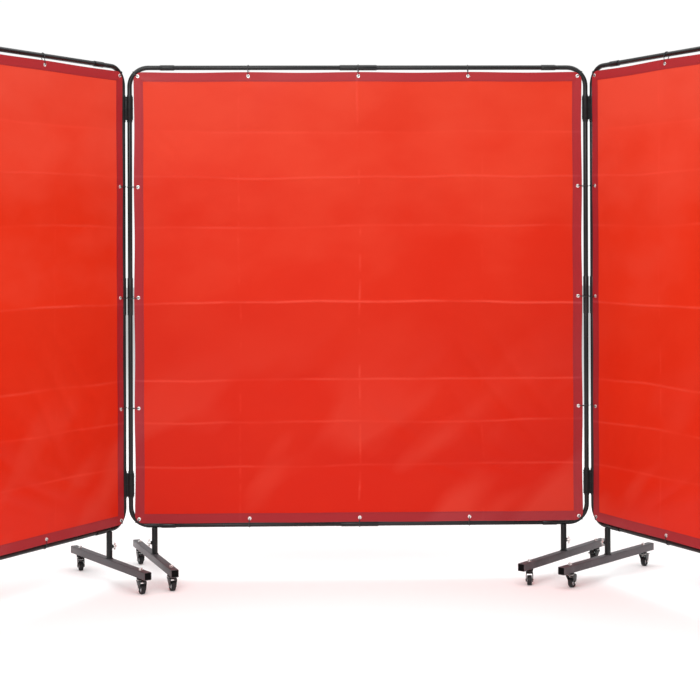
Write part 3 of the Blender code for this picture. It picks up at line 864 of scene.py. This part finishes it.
def surface_point(points, x, z):
    """The sheet's point nearest to a place in its plane."""
    column = min(points, key=lambda c: abs(c[len(c) // 2].x - x))
    near = min(column, key=lambda p: abs(p.z - z))
    return Vector((x, near.y, z))


def stitch_mesh(points):
    """Rows of stitches on both faces, just inside the hem's inner edge."""
    thread = 0.0005
    bead = bmesh.new()
    bmesh.ops.create_icosphere(bead, subdivisions=1, radius=1)
    ball = mesh_from(bead, "bead", 180)
    lay_x = (STITCH_LENGTH / 2, thread, thread)
    lay_z = (thread, thread, STITCH_LENGTH / 2)
    inside = HEM_WIDTH - 0.0045
    rows = []
    for row, lay, length in ((0, lay_x, SHEET_WIDTH), (1, lay_z, SHEET_HEIGHT)):
        count = int((length - 2 * inside) / STITCH_PITCH)
        for n in range(count + 1):
            along = inside + (length - 2 * inside) * n / count
            for far in (inside, (SHEET_HEIGHT if row == 0 else SHEET_WIDTH) - inside):
                across, up = (along, far) if row == 0 else (far, along)
                rows.append((-CURTAIN_HALF + across, CURTAIN_LOW.z + up, lay))
    columns = np.array([c[len(c) // 2].x for c in points])
    heights = np.array([p.z for p in points[len(points) // 2]])
    template = np.array([v.co for v in ball.vertices])
    faces = [tuple(p.vertices) for p in ball.polygons]
    verts, polygons = [], []
    for x, z, lay in rows:
        i, k = int(np.abs(columns - x).argmin()), int(np.abs(heights - z).argmin())
        depth = points[i][k].y
        scaled = template * lay
        for side in (-1, 1):
            first = len(verts)
            place = np.array([x, depth + side * (HEM_THICKNESS / 2 + thread * 0.4), z])
            verts.extend((scaled + place).tolist())
            polygons.extend(tuple(first + index for index in face) for face in faces)
    mesh = bpy.data.meshes.new("stitches")
    mesh.from_pydata(verts, [], polygons)
    mesh.shade_smooth()
    return mesh


def grommet_mesh():
    """A rolled eyelet about Y: two lips and the barrel between them."""
    half = HEM_THICKNESS / 2
    lip = 0.0011
    middle = (GROMMET_RADIUS + GROMMET_HOLE) / 2
    reach = (GROMMET_RADIUS - GROMMET_HOLE) / 2
    front = [(half + lip * math.sin(a), middle + reach * math.cos(a)) for a in arc_angles(0, 180, 8)]
    back = [(-half - lip * math.sin(a), middle + reach * math.cos(a)) for a in arc_angles(180, 0, 8)]
    return lathe("grommet", front + back, 28, "Y", closed=True, sharp=80)


def tie_mesh(grommet, outward, tube_away, tube_radius, lean):
    """A tie from a grommet round a tube. Its two strands lean apart along the tube, by lean at the tube."""
    out = Vector((outward.x, 0, outward.y))
    along = Vector((-outward.y, 0, outward.x))
    back = Vector((0, 1, 0))
    wrap = tube_radius + TIE_RADIUS
    skin = HEM_THICKNESS / 2 + TIE_RADIUS + 0.0008
    axis = Vector((grommet.x, 0, grommet.z)) + out * tube_away
    loop = [grommet - back * skin + along * 0.0003]
    loop += [loop[0].lerp(axis - back * wrap + along * lean, 0.5) - back * 0.0006]
    for n, angle in enumerate(arc_angles(-90, 90, 12)):
        drift = lean * (1 - 2 * n / 12)
        loop.append(axis + out * wrap * math.cos(angle) + back * wrap * math.sin(angle) + along * drift)
    last = grommet + back * skin - along * 0.0003
    loop += [loop[-1].lerp(last, 0.55) + back * 0.0008, last, grommet]
    strap = pipe("tie", [(p, TIE_RADIUS) for p in loop], 10, closed=True)
    head_at = loop[2].lerp(loop[1], 0.45)
    head = rounded_box("head", -TIE_HEAD, TIE_HEAD, 0.0006, 2)
    turn = out.to_track_quat("X", "Y").to_matrix().to_4x4()
    return joined("tie", [strap, turned(head, head_at, turn)])


def ties_mesh(points, seed):
    """All the ties of a panel."""
    made = []
    for n, (x, z, outward) in enumerate(GROMMETS):
        grommet = surface_point(points, x, z)
        beside = HALF_WIDTH - abs(x)
        over = abs((FRAME_TOP if outward.y > 0 else FRAME_LOW) - z)
        if outward.x and outward.y:
            away = BEND_RADIUS - math.hypot(beside - BEND_RADIUS, over - BEND_RADIUS)
        else:
            away = beside if outward.x else over
        at_sleeve = abs(x) < 0.01 or abs(z - FRAME_MIDDLE) < 0.02
        radius = SOCKET_RADIUS if at_sleeve else TUBE_RADIUS
        lean = (0.003 + 0.003 * abs(noise.noise((n * 1.7, seed, 2.0)))) * (-1) ** n
        made.append(tie_mesh(grommet, outward, away, radius, lean))
    return joined("ties", made)


def add_curtain(panel, seed, body, place):
    points = sheet_grid(seed)
    hem = add(f"{panel}_hem", hem_mesh(points), f"{panel}_hem", body, place)
    thread = add(f"{panel}_stitching", stitch_mesh(points), "thread", body, place)
    eyelet = grommet_mesh()
    eyelets = joined("grommets", [shifted(eyelet, surface_point(points, x, z)) for x, z, _ in GROMMETS], 80)
    rings = add(f"{panel}_grommets", eyelets, "zinc", body, place)
    ties = add(f"{panel}_ties", ties_mesh(points, seed), "tie", body, place)
    name = f"{panel}_sheet"
    sheet = add(name, sheet_mesh(points), name, body, place, f"{panel}_curtain")


# Hinge clips


def clip_mesh():
    """Two rings joined by a waist: the first round the centre panel's tube, and the second at +X."""
    bore = SOCKET_RADIUS + CLIP_BORE_GAP
    outer = bore + CLIP_WALL - 0.0003
    outline = arc((0, 0), outer, 38, 322, 30) + arc((HINGE_PITCH, 0), outer, -142, 142, 30)
    holes = [arc((x, 0), bore, 0, 350, 35) for x in (0, HINGE_PITCH)]
    body = plate("clip", outline, CLIP_HEIGHT, CLIP_EDGE / 2, holes)
    rib = arc((0, 0), outer + 0.0006, 44, 316, 26) + arc((HINGE_PITCH, 0), outer + 0.0006, -136, 136, 26)
    band = plate("band", rib, 0.004, 0.0006, holes)
    reach = CLIP_HEIGHT / 2 - 0.012
    return joined("clip", [body] + [shifted(band, (0, 0, z)) for z in (-reach, 0, reach)])


def add_clips():
    mesh = clip_mesh()
    for wing, side in (("left", -1), ("right", 1)):
        for level in ("top", "bottom"):
            centre = floor_point(joint_place(f"{wing}_clip_turn")) + Vector((0, 0, clip_height(level)))
            name = f"{wing}_clip_{level}"
            add(f"{name}_moulding", mesh, "clip", f"{wing}_clips", at(centre, (side, 0)), name)


# Feet

QUARTER_ABOUT_X = Matrix.Rotation(math.pi / 2, 4, "X")
QUARTER_ABOUT_Y = Matrix.Rotation(math.pi / 2, 4, "Y")
KINGPIN_LOW = 0.043
WELD_STEPS = 72
WELD_SIDES = 8


def square_outline(corner, steps):
    """A square whose rounded corners have this radius, about the same centres as the beam's."""
    reach = BEAM_SIDE / 2 - BEAM_CORNER
    points = []
    for n, (sx, sy) in enumerate(((1, 1), (-1, 1), (-1, -1), (1, -1))):
        points += arc((sx * reach, sy * reach), corner, 90 * n, 90 * n + 90, steps)
    return points


def beam_mesh():
    """A square tube with rounded corners and open ends."""
    inner = square_outline(BEAM_CORNER - BEAM_WALL, 4)
    tube = plate("beam", square_outline(BEAM_CORNER, 6), 2 * BEAM_HALF, 0.0004, [inner])
    return turned(tube, (0, 0, CASTER_HEIGHT + BEAM_SIDE / 2), QUARTER_ABOUT_X)


def cap_mesh():
    """Both end caps, pushed into the tube: a face just below its rim, a border and a ribbed plug."""
    inner = BEAM_SIDE / 2 - BEAM_WALL - 0.0001
    height = CASTER_HEIGHT + BEAM_SIDE / 2
    meshes = []
    for side in (-1, 1):
        outer = side * (BEAM_HALF - CAP_RECESS)

        def block(name, half, start, end, edge):
            near, far = sorted((outer - side * start, outer - side * end))
            return rounded_box(name, (-half, near, height - half), (half, far, height + half), edge, 2)

        meshes.append(block("face", inner, 0, 0.0025, 0.0008))
        meshes.append(block("plug", inner - 0.0012, 0.002, 0.016, 0.001))
        for start in (0.005, 0.009, 0.013):
            meshes.append(block("rib", inner - 0.0002, start, start + 0.0014, 0.0003))
        rim = inner - 0.0026
        for turn in range(4):
            bar = rounded_box("bar", (-rim, -0.0006, rim - 0.0007), (rim, 0.0006, rim + 0.0007), 0.0003, 2)
            meshes.append(turned(bar, (0, outer, height), Matrix.Rotation(turn * math.pi / 2, 4, "Y")))
    return joined("caps", meshes)


def weld_mesh():
    """The rippled bead round the foot of the post."""
    shape = bmesh.new()
    rings = []
    for n in range(WELD_STEPS):
        angle = 2 * math.pi * n / WELD_STEPS
        x, y = math.cos(angle), math.sin(angle)
        swell = 1 + 0.18 * math.sin(angle * 24) + 0.1 * noise.noise((3 * x, 3 * y, 1.0))
        ring = []
        for m in range(WELD_SIDES):
            turn = 2 * math.pi * m / WELD_SIDES
            radius = POST_RADIUS + 0.0006 + 0.0021 * swell * math.cos(turn)
            height = BEAM_TOP + 0.0004 + 0.0019 * swell * math.sin(turn)
            ring.append(shape.verts.new((radius * x, radius * y, height)))
        rings.append(ring)
    for a, b in zip(rings, rings[1:] + rings[:1]):
        for m in range(WELD_SIDES):
            after = (m + 1) % WELD_SIDES
            shape.faces.new((a[m], a[after], b[after], b[m]))
    return mesh_from(shape, "weld", 60)


def post_mesh():
    """The round post, its rolled mouth and the weld round its foot."""
    rings = [(BEAM_TOP - 0.001, POST_RADIUS), (POST_TOP - 0.0012, POST_RADIUS)]
    rings.append((POST_TOP, POST_RADIUS - 0.0005))
    post = pipe("post", [(Vector((0, 0, z)), radius) for z, radius in rings], 36, 0.0016)
    return joined("post", [post, weld_mesh()])


def boss_mesh():
    """The welded nut that the wing screw runs in, at +X of the post."""
    nut = hexagon("nut", 0.0076, 0.0054, LOCK_RADIUS)
    return turned(nut, (POST_RADIUS + 0.0019, 0, LOCK_HEIGHT), QUARTER_ABOUT_Y)


def hexagon(name, across, thickness, bore=0.0):
    """A hexagon nut about Z with its corners turned down. across is its corner radius."""
    outline = arc((0, 0), across, 0, 300, 5)
    holes = [arc((0, 0), bore, 0, 345, 23)] if bore else []
    body = plate(name, outline, thickness, 0.0004, holes)
    shoulder = across * 0.955
    trim = lathe(
        "trim",
        [(-thickness, across * 3), (-thickness / 2 - 0.0006, shoulder * 0.98)]
        + [(0, across * 1.08), (thickness / 2 + 0.0006, shoulder * 0.98), (thickness, across * 3)],
        36,
        closed=True,
    )
    return cut(body, [trim], name)


def kingpin_mesh():
    """Both kingpins: washer, nut and bolt end over the beam, and the head under the fork."""
    washer = rounded_rod("washer", 0.0012, 0.0086, 0.0003)
    nut = hexagon("nut", 0.0075, 0.0052)
    stem = rounded_rod("stem", 0.0105, 0.0036, 0.0008, steps=20)
    shaft = rounded_rod("shaft", BEAM_TOP - KINGPIN_LOW, 0.0039, 0.0004, steps=20)
    head = rounded_rod("head", 0.003, 0.0065, 0.0008)
    meshes = []
    for y, turn in ((-CASTER_REACH, 0.3), (CASTER_REACH, 1.1)):
        spin = Matrix.Rotation(turn, 4, "Z")
        for mesh, z in (
            (washer, BEAM_TOP + 0.0006),
            (nut, BEAM_TOP + 0.0038),
            (stem, BEAM_TOP + 0.0030),
            (shaft, (BEAM_TOP + KINGPIN_LOW) / 2),
            (head, KINGPIN_LOW + 0.0016),
        ):
            meshes.append(turned(mesh, (0, y, z), spin))
    return joined("kingpins", meshes)


def lock_mesh():
    """A wing screw along +X: threaded shank, hub and two ears."""
    tip, end = TUBE_RADIUS, TUBE_RADIUS + 0.022
    pitch, root = 0.001, LOCK_RADIUS - 0.0006
    profile = [(tip, 0), (tip, root)]
    for n in range(int((end - tip) / pitch)):
        profile += [(tip + pitch * (n + 0.25), LOCK_RADIUS), (tip + pitch * (n + 0.75), root)]
    profile += [(end, root), (end, 0)]
    shank = lathe("shank", profile, 20, "X")
    profile = [(0.0177, 0.0), (0.0177, 0.0031), (0.0177, 0.0052), (0.0215, 0.0056)]
    profile += [(0.027, 0.0046), (0.0285, 0.0036), (0.0285, 0.0)]
    hub = lathe("hub", profile, 28, "X")
    outline = [(0.0195, 0.002)] + arc((0.0242, 0.0098), 0.0052, 215, 60, 12)
    ear = plate("ear", outline + [(0.0275, 0.006), (0.0262, 0.002)], 0.0024, 0.0008)
    ears = [moved(ear, QUARTER_ABOUT_X), moved(ear, QUARTER_ABOUT_X.inverted())]
    return joined("lock", [shank, hub] + ears)


def joint_at(name):
    """The matrix of an upright local frame on a joint, with its X axis along the joint's."""
    return at(joint_place(name), JOINTS[name]["axis"])


def add_foot(name):
    place = foot_place(name)
    body = f"{name}_foot"
    lock_at = joint_at(f"{name}_lock_turn")
    boss_at = at(floor_point(lock_at.translation), lock_at.col[0])
    add(f"{name}_beam", FOOT["beam"], "beam", body, place, f"{name}_foot")
    add(f"{name}_end_caps", FOOT["caps"], "cap", body, place)
    add(f"{name}_post", FOOT["post"], "frame", body, place)
    add(f"{name}_lock_boss", FOOT["boss"], "frame", body, boss_at)
    add(f"{name}_kingpins", FOOT["kingpins"], "zinc", body, place)
    add(f"{name}_wing_screw", FOOT["lock"], "zinc", f"{name}_lock", lock_at, f"{name}_lock_screw")
    for end in ("front", "rear"):
        add_caster(f"{name}_{end}")
    pedal_at = joint_at(f"{name}_brake_press")
    add(f"{name}_brake_tab", FOOT["pedal"], "pedal", f"{name}_pedal", pedal_at, f"{name}_brake_pedal")


# Casters

PLATE_TOP = 0.0517
PLATE_LOW = 0.0467
CHEEK_RADIUS = 0.0075


def fork_mesh():
    """The yoke: a crown, an arched top and two tapering cheeks."""
    half = FORK_WIDTH / 2
    crown = lathe(
        "crown",
        [(PLATE_TOP - 0.002, 0.0048), (PLATE_TOP - 0.002, 0.0138), (0.0530, 0.0146)]
        + [(0.0556, CROWN_RADIUS), (0.0586, CROWN_RADIUS), (0.0597, 0.0150), (0.0597, 0.0048)],
        40,
        closed=True,
    )
    outline = arc((0.0, 0.0), 0.0165, 35, 145, 10)
    outline += [(-half, -0.012), (-half + 0.002, -0.0275), (-half + 0.006, -0.0298)]
    outline += [(half - 0.006, -0.0298), (half - 0.002, -0.0275), (half, -0.012)]
    hole = arc((0, 0), 0.0048, 0, 345, 23)
    top = plate("top", outline, 0.0046, 0.0012, [hole])
    top = shifted(top, (0, 0, (PLATE_TOP + PLATE_LOW) / 2))
    side_outline = [(0.0125, PLATE_LOW + 0.003), (-0.0285, PLATE_LOW + 0.003), (-0.0290, 0.041)]
    side_outline += arc((-TRAIL, AXLE_HEIGHT), CHEEK_RADIUS, 190, 360, 12)
    side_outline += [(-0.0055, 0.028), (0.0035, 0.039)]
    cheek = plate("cheek", side_outline, FORK_WALL, 0.0009)
    lay = Matrix(((0, 0, 1, 0), (1, 0, 0, 0), (0, 1, 0, 0), (0, 0, 0, 1)))
    cheeks = [turned(cheek, (side * (half - FORK_WALL / 2), 0, 0), lay) for side in (-1, 1)]
    return joined("fork", [crown, top] + cheeks)


def race_mesh():
    """The bright ring of the swivel bearing between the crown and the yoke, and the axle with its nut."""
    profile = [(0.0519, 0.0125), (0.0519, 0.0150), (0.0531, 0.0152), (0.0531, 0.0125)]
    ring = lathe("race", profile, 40, closed=True)
    half = FORK_WIDTH / 2
    axle = rounded_rod("axle", FORK_WIDTH + 0.003, AXLE_RADIUS, 0.0006, "X", 24)
    head = lathe("head", [(0, 0), (0, 0.0056), (0.0012, 0.0052), (0.0022, 0.0036), (0.0025, 0)], 28, "X")
    nut = moved(hexagon("nut", 0.0056, 0.0026), Matrix.Rotation(math.pi, 4, "Z") @ QUARTER_ABOUT_Y)
    spot = Vector((0, -TRAIL, AXLE_HEIGHT))
    head = shifted(head, spot + Vector((half, 0, 0)))
    nut = shifted(nut, spot - Vector((half + 0.0013, 0, 0)))
    return joined("race", [ring, shifted(axle, spot), head, nut])


def tyre_mesh():
    """A rubber tread with rounded shoulders, and the web that holds it on the hub."""
    half = WHEEL_WIDTH / 2
    r = 0.0035
    radius = min(AXLE_HEIGHT, WHEEL_RADIUS * math.cos(math.pi / 12))  # stays in the faceted CAD wheel
    shoulder = arc((half - r, radius - r), r, 90, 0, 6)
    profile = shoulder + [(half, 0.0152), (half - 0.0016, 0.0142), (half - 0.0016, 0.0110)]
    profile = [(-x, rad) for x, rad in reversed(profile)] + profile
    return lathe("tyre", profile, 64, "X", closed=True, sharp=40)


def hub_mesh():
    """A bright moulded hub: a dished disc with a raised boss each side and a ring of dimples."""
    half = WHEEL_WIDTH / 2
    hub = HUB_WIDTH / 2
    dish = half - 0.0040
    side = [(half - 0.0022, 0.0136), (half - 0.0022, 0.0122), (dish, 0.0112), (dish, 0.0070)]
    side += [(hub - 0.0006, 0.0064), (hub, 0.0058), (hub, AXLE_RADIUS + 0.0004)]
    profile = [(-x, radius) for x, radius in reversed(side)] + side
    disc = lathe("hub", profile, 48, "X", closed=True, sharp=35)
    knob = rounded_rod("knob", 0.0016, 0.0014, 0.0005, "X", 12)
    knobs = []
    for n in range(6):
        angle = math.radians(60 * n)
        for end in (-1, 1):
            knobs.append(shifted(knob, (end * dish, 0.0091 * math.cos(angle), 0.0091 * math.sin(angle))))
    return joined("hub", [disc] + knobs)


def pedal_mesh():
    """The brake tab about its pivot: barrel, arched tab with grip ribs, and a nose for the tread."""
    reach = FORK_WIDTH / 2 - FORK_WALL - 0.0003
    barrel = rounded_rod("barrel", 2 * reach, 0.0022, 0.0004, "X", 20)
    outline = [(-0.0070, 0.001), (-0.0078, -0.010), (-0.0086, -0.018)]
    outline += arc((-0.0056, -0.0236), 0.0034, 180, 270, 5) + arc((0.0056, -0.0236), 0.0034, 270, 360, 5)
    outline += [(0.0086, -0.018), (0.0078, -0.010), (0.0070, 0.001)]
    tab = shifted(plate("tab", outline, 0.0024, 0.0007), (0, 0, 0.0006))
    rib = rounded_rod("rib", 0.0125, 0.0006, 0.0003, "X", 10)
    ribs = [shifted(rib, (0, y, 0.0018)) for y in (-0.0165, -0.0190, -0.0215, -0.0240)]
    nose = rounded_box("nose", (-0.0045, -0.0011, -0.0062), (0.0045, 0.0011, 0), 0.0004, 2)
    return joined("pedal", [barrel, tab, nose] + ribs)


def add_caster(name):
    place = caster_place(name)
    body = f"{name}_caster"
    add(f"{name}_yoke", FOOT["fork"], "fork", body, place, f"{name}_fork")
    add(f"{name}_axle_and_race", FOOT["race"], "zinc", body, place)
    wheel_at = joint_at(f"{name}_wheel_spin")
    add(f"{name}_tyre", FOOT["tyre"], "tyre", f"{name}_wheel", wheel_at, f"{name}_wheel")
    add(f"{name}_hub", FOOT["hub"], "hub", f"{name}_wheel", wheel_at)


# Studio

CAMERA_DISTANCE = 6.2  # from the centre panel's plane
CAMERA_HEIGHT = 1.3516
CAMERA_ASIDE = -0.185  # from the centre panel's middle
CAMERA_TURN = -0.0241  # about the vertical, in radians
CAMERA_ROLL = -0.0036
LENS = 78.6
LOOK_DOWN = -0.1553  # level camera, with the view shifted down
SOFT_LIGHT = 0.57
SEEN_WHITE = 1.02
FLOOR_SIZE = 40


def add_area(name, place, target, size, power):
    light = bpy.data.lights.new(name, "AREA")
    light.shape = "RECTANGLE"
    light.size, light.size_y = size
    light.energy = power
    holder = bpy.data.objects.new(name, light)
    bpy.context.scene.collection.objects.link(holder)
    holder.location = place
    holder.rotation_euler = (Vector(target) - Vector(place)).to_track_quat("-Z", "Y").to_euler()


def studio_world():
    """White for the eye, and a dimmer soft light on the object."""
    world = bpy.data.worlds.new("studio")
    world.use_nodes = True
    nodes, links = world.node_tree.nodes, world.node_tree.links
    soft, seen = nodes["Background"], nodes.new("ShaderNodeBackground")
    for background, strength in ((soft, SOFT_LIGHT), (seen, SEEN_WHITE)):
        background.inputs["Color"].default_value = (1, 1, 1, 1)
        background.inputs["Strength"].default_value = strength
    path = nodes.new("ShaderNodeLightPath")
    choose = nodes.new("ShaderNodeMixShader")
    links.new(path.outputs["Is Camera Ray"], choose.inputs["Fac"])
    links.new(soft.outputs["Background"], choose.inputs[1])
    links.new(seen.outputs["Background"], choose.inputs[2])
    links.new(choose.outputs["Shader"], nodes["World Output"].inputs["Surface"])
    bpy.context.scene.world = world


def add_floor():
    paint = Paint("floor", (0.96, 0.96, 0.96), 0.8, 0.1)
    stops = [(0.3, (0.955, 0.96, 0.96)), (0.7, (0.97, 0.975, 0.975))]
    paint.put("Base Color", paint.ramp(paint.noise(0.6, 3), stops))
    shape = bmesh.new()
    bmesh.ops.create_grid(shape, x_segments=2, y_segments=2, size=FLOOR_SIZE)
    floor = bpy.data.objects.new("floor", mesh_from(shape, "floor"))
    floor.data.materials.append(paint.material)
    bpy.context.scene.collection.objects.link(floor)


def add_camera():
    camera = bpy.data.objects.new("camera", bpy.data.cameras.new("camera"))
    bpy.context.scene.collection.objects.link(camera)
    middle = (left_line + right_line) / 2
    camera.matrix_world = (
        Matrix.Translation((middle.x + CAMERA_ASIDE, middle.y - CAMERA_DISTANCE, CAMERA_HEIGHT))
        @ Matrix.Rotation(CAMERA_TURN, 4, "Z")
        @ Matrix.Rotation(math.pi / 2, 4, "X")
        @ Matrix.Rotation(CAMERA_ROLL, 4, "Z")
    )
    camera.data.lens = LENS
    camera.data.shift_y = LOOK_DOWN
    bpy.context.scene.camera = camera


def add_studio():
    studio_world()
    add_floor()
    add_camera()
    middle = (left_line + right_line) / 2
    add_area("key", (middle.x - 1.5, middle.y - 7, 4.2), (middle.x, middle.y, 1.3), (3.5, 2.5), 200)
    add_area("top", (middle.x, middle.y - 0.5, 6.5), (middle.x, middle.y - 0.4, 0), (12, 10), 760)
    bpy.context.scene.view_settings.view_transform = "Standard"


FOOT = {
    "beam": beam_mesh(),
    "caps": cap_mesh(),
    "post": post_mesh(),
    "boss": boss_mesh(),
    "kingpins": kingpin_mesh(),
    "lock": lock_mesh(),
    "fork": fork_mesh(),
    "race": race_mesh(),
    "tyre": tyre_mesh(),
    "hub": hub_mesh(),
    "pedal": pedal_mesh(),
}
frame_parts = frame_meshes()
for number, panel_name in enumerate(PANELS):
    panel_body = "centre_panel" if panel_name == "centre" else f"{panel_name}_wing"
    panel_at = panel_place(panel_name)
    add_frame(panel_name, frame_parts, panel_body, panel_at)
    add_curtain(panel_name, 3.0 + 7.0 * number, panel_body, panel_at)
add_clips()
for foot_name in FEET:
    add_foot(foot_name)
add_studio()
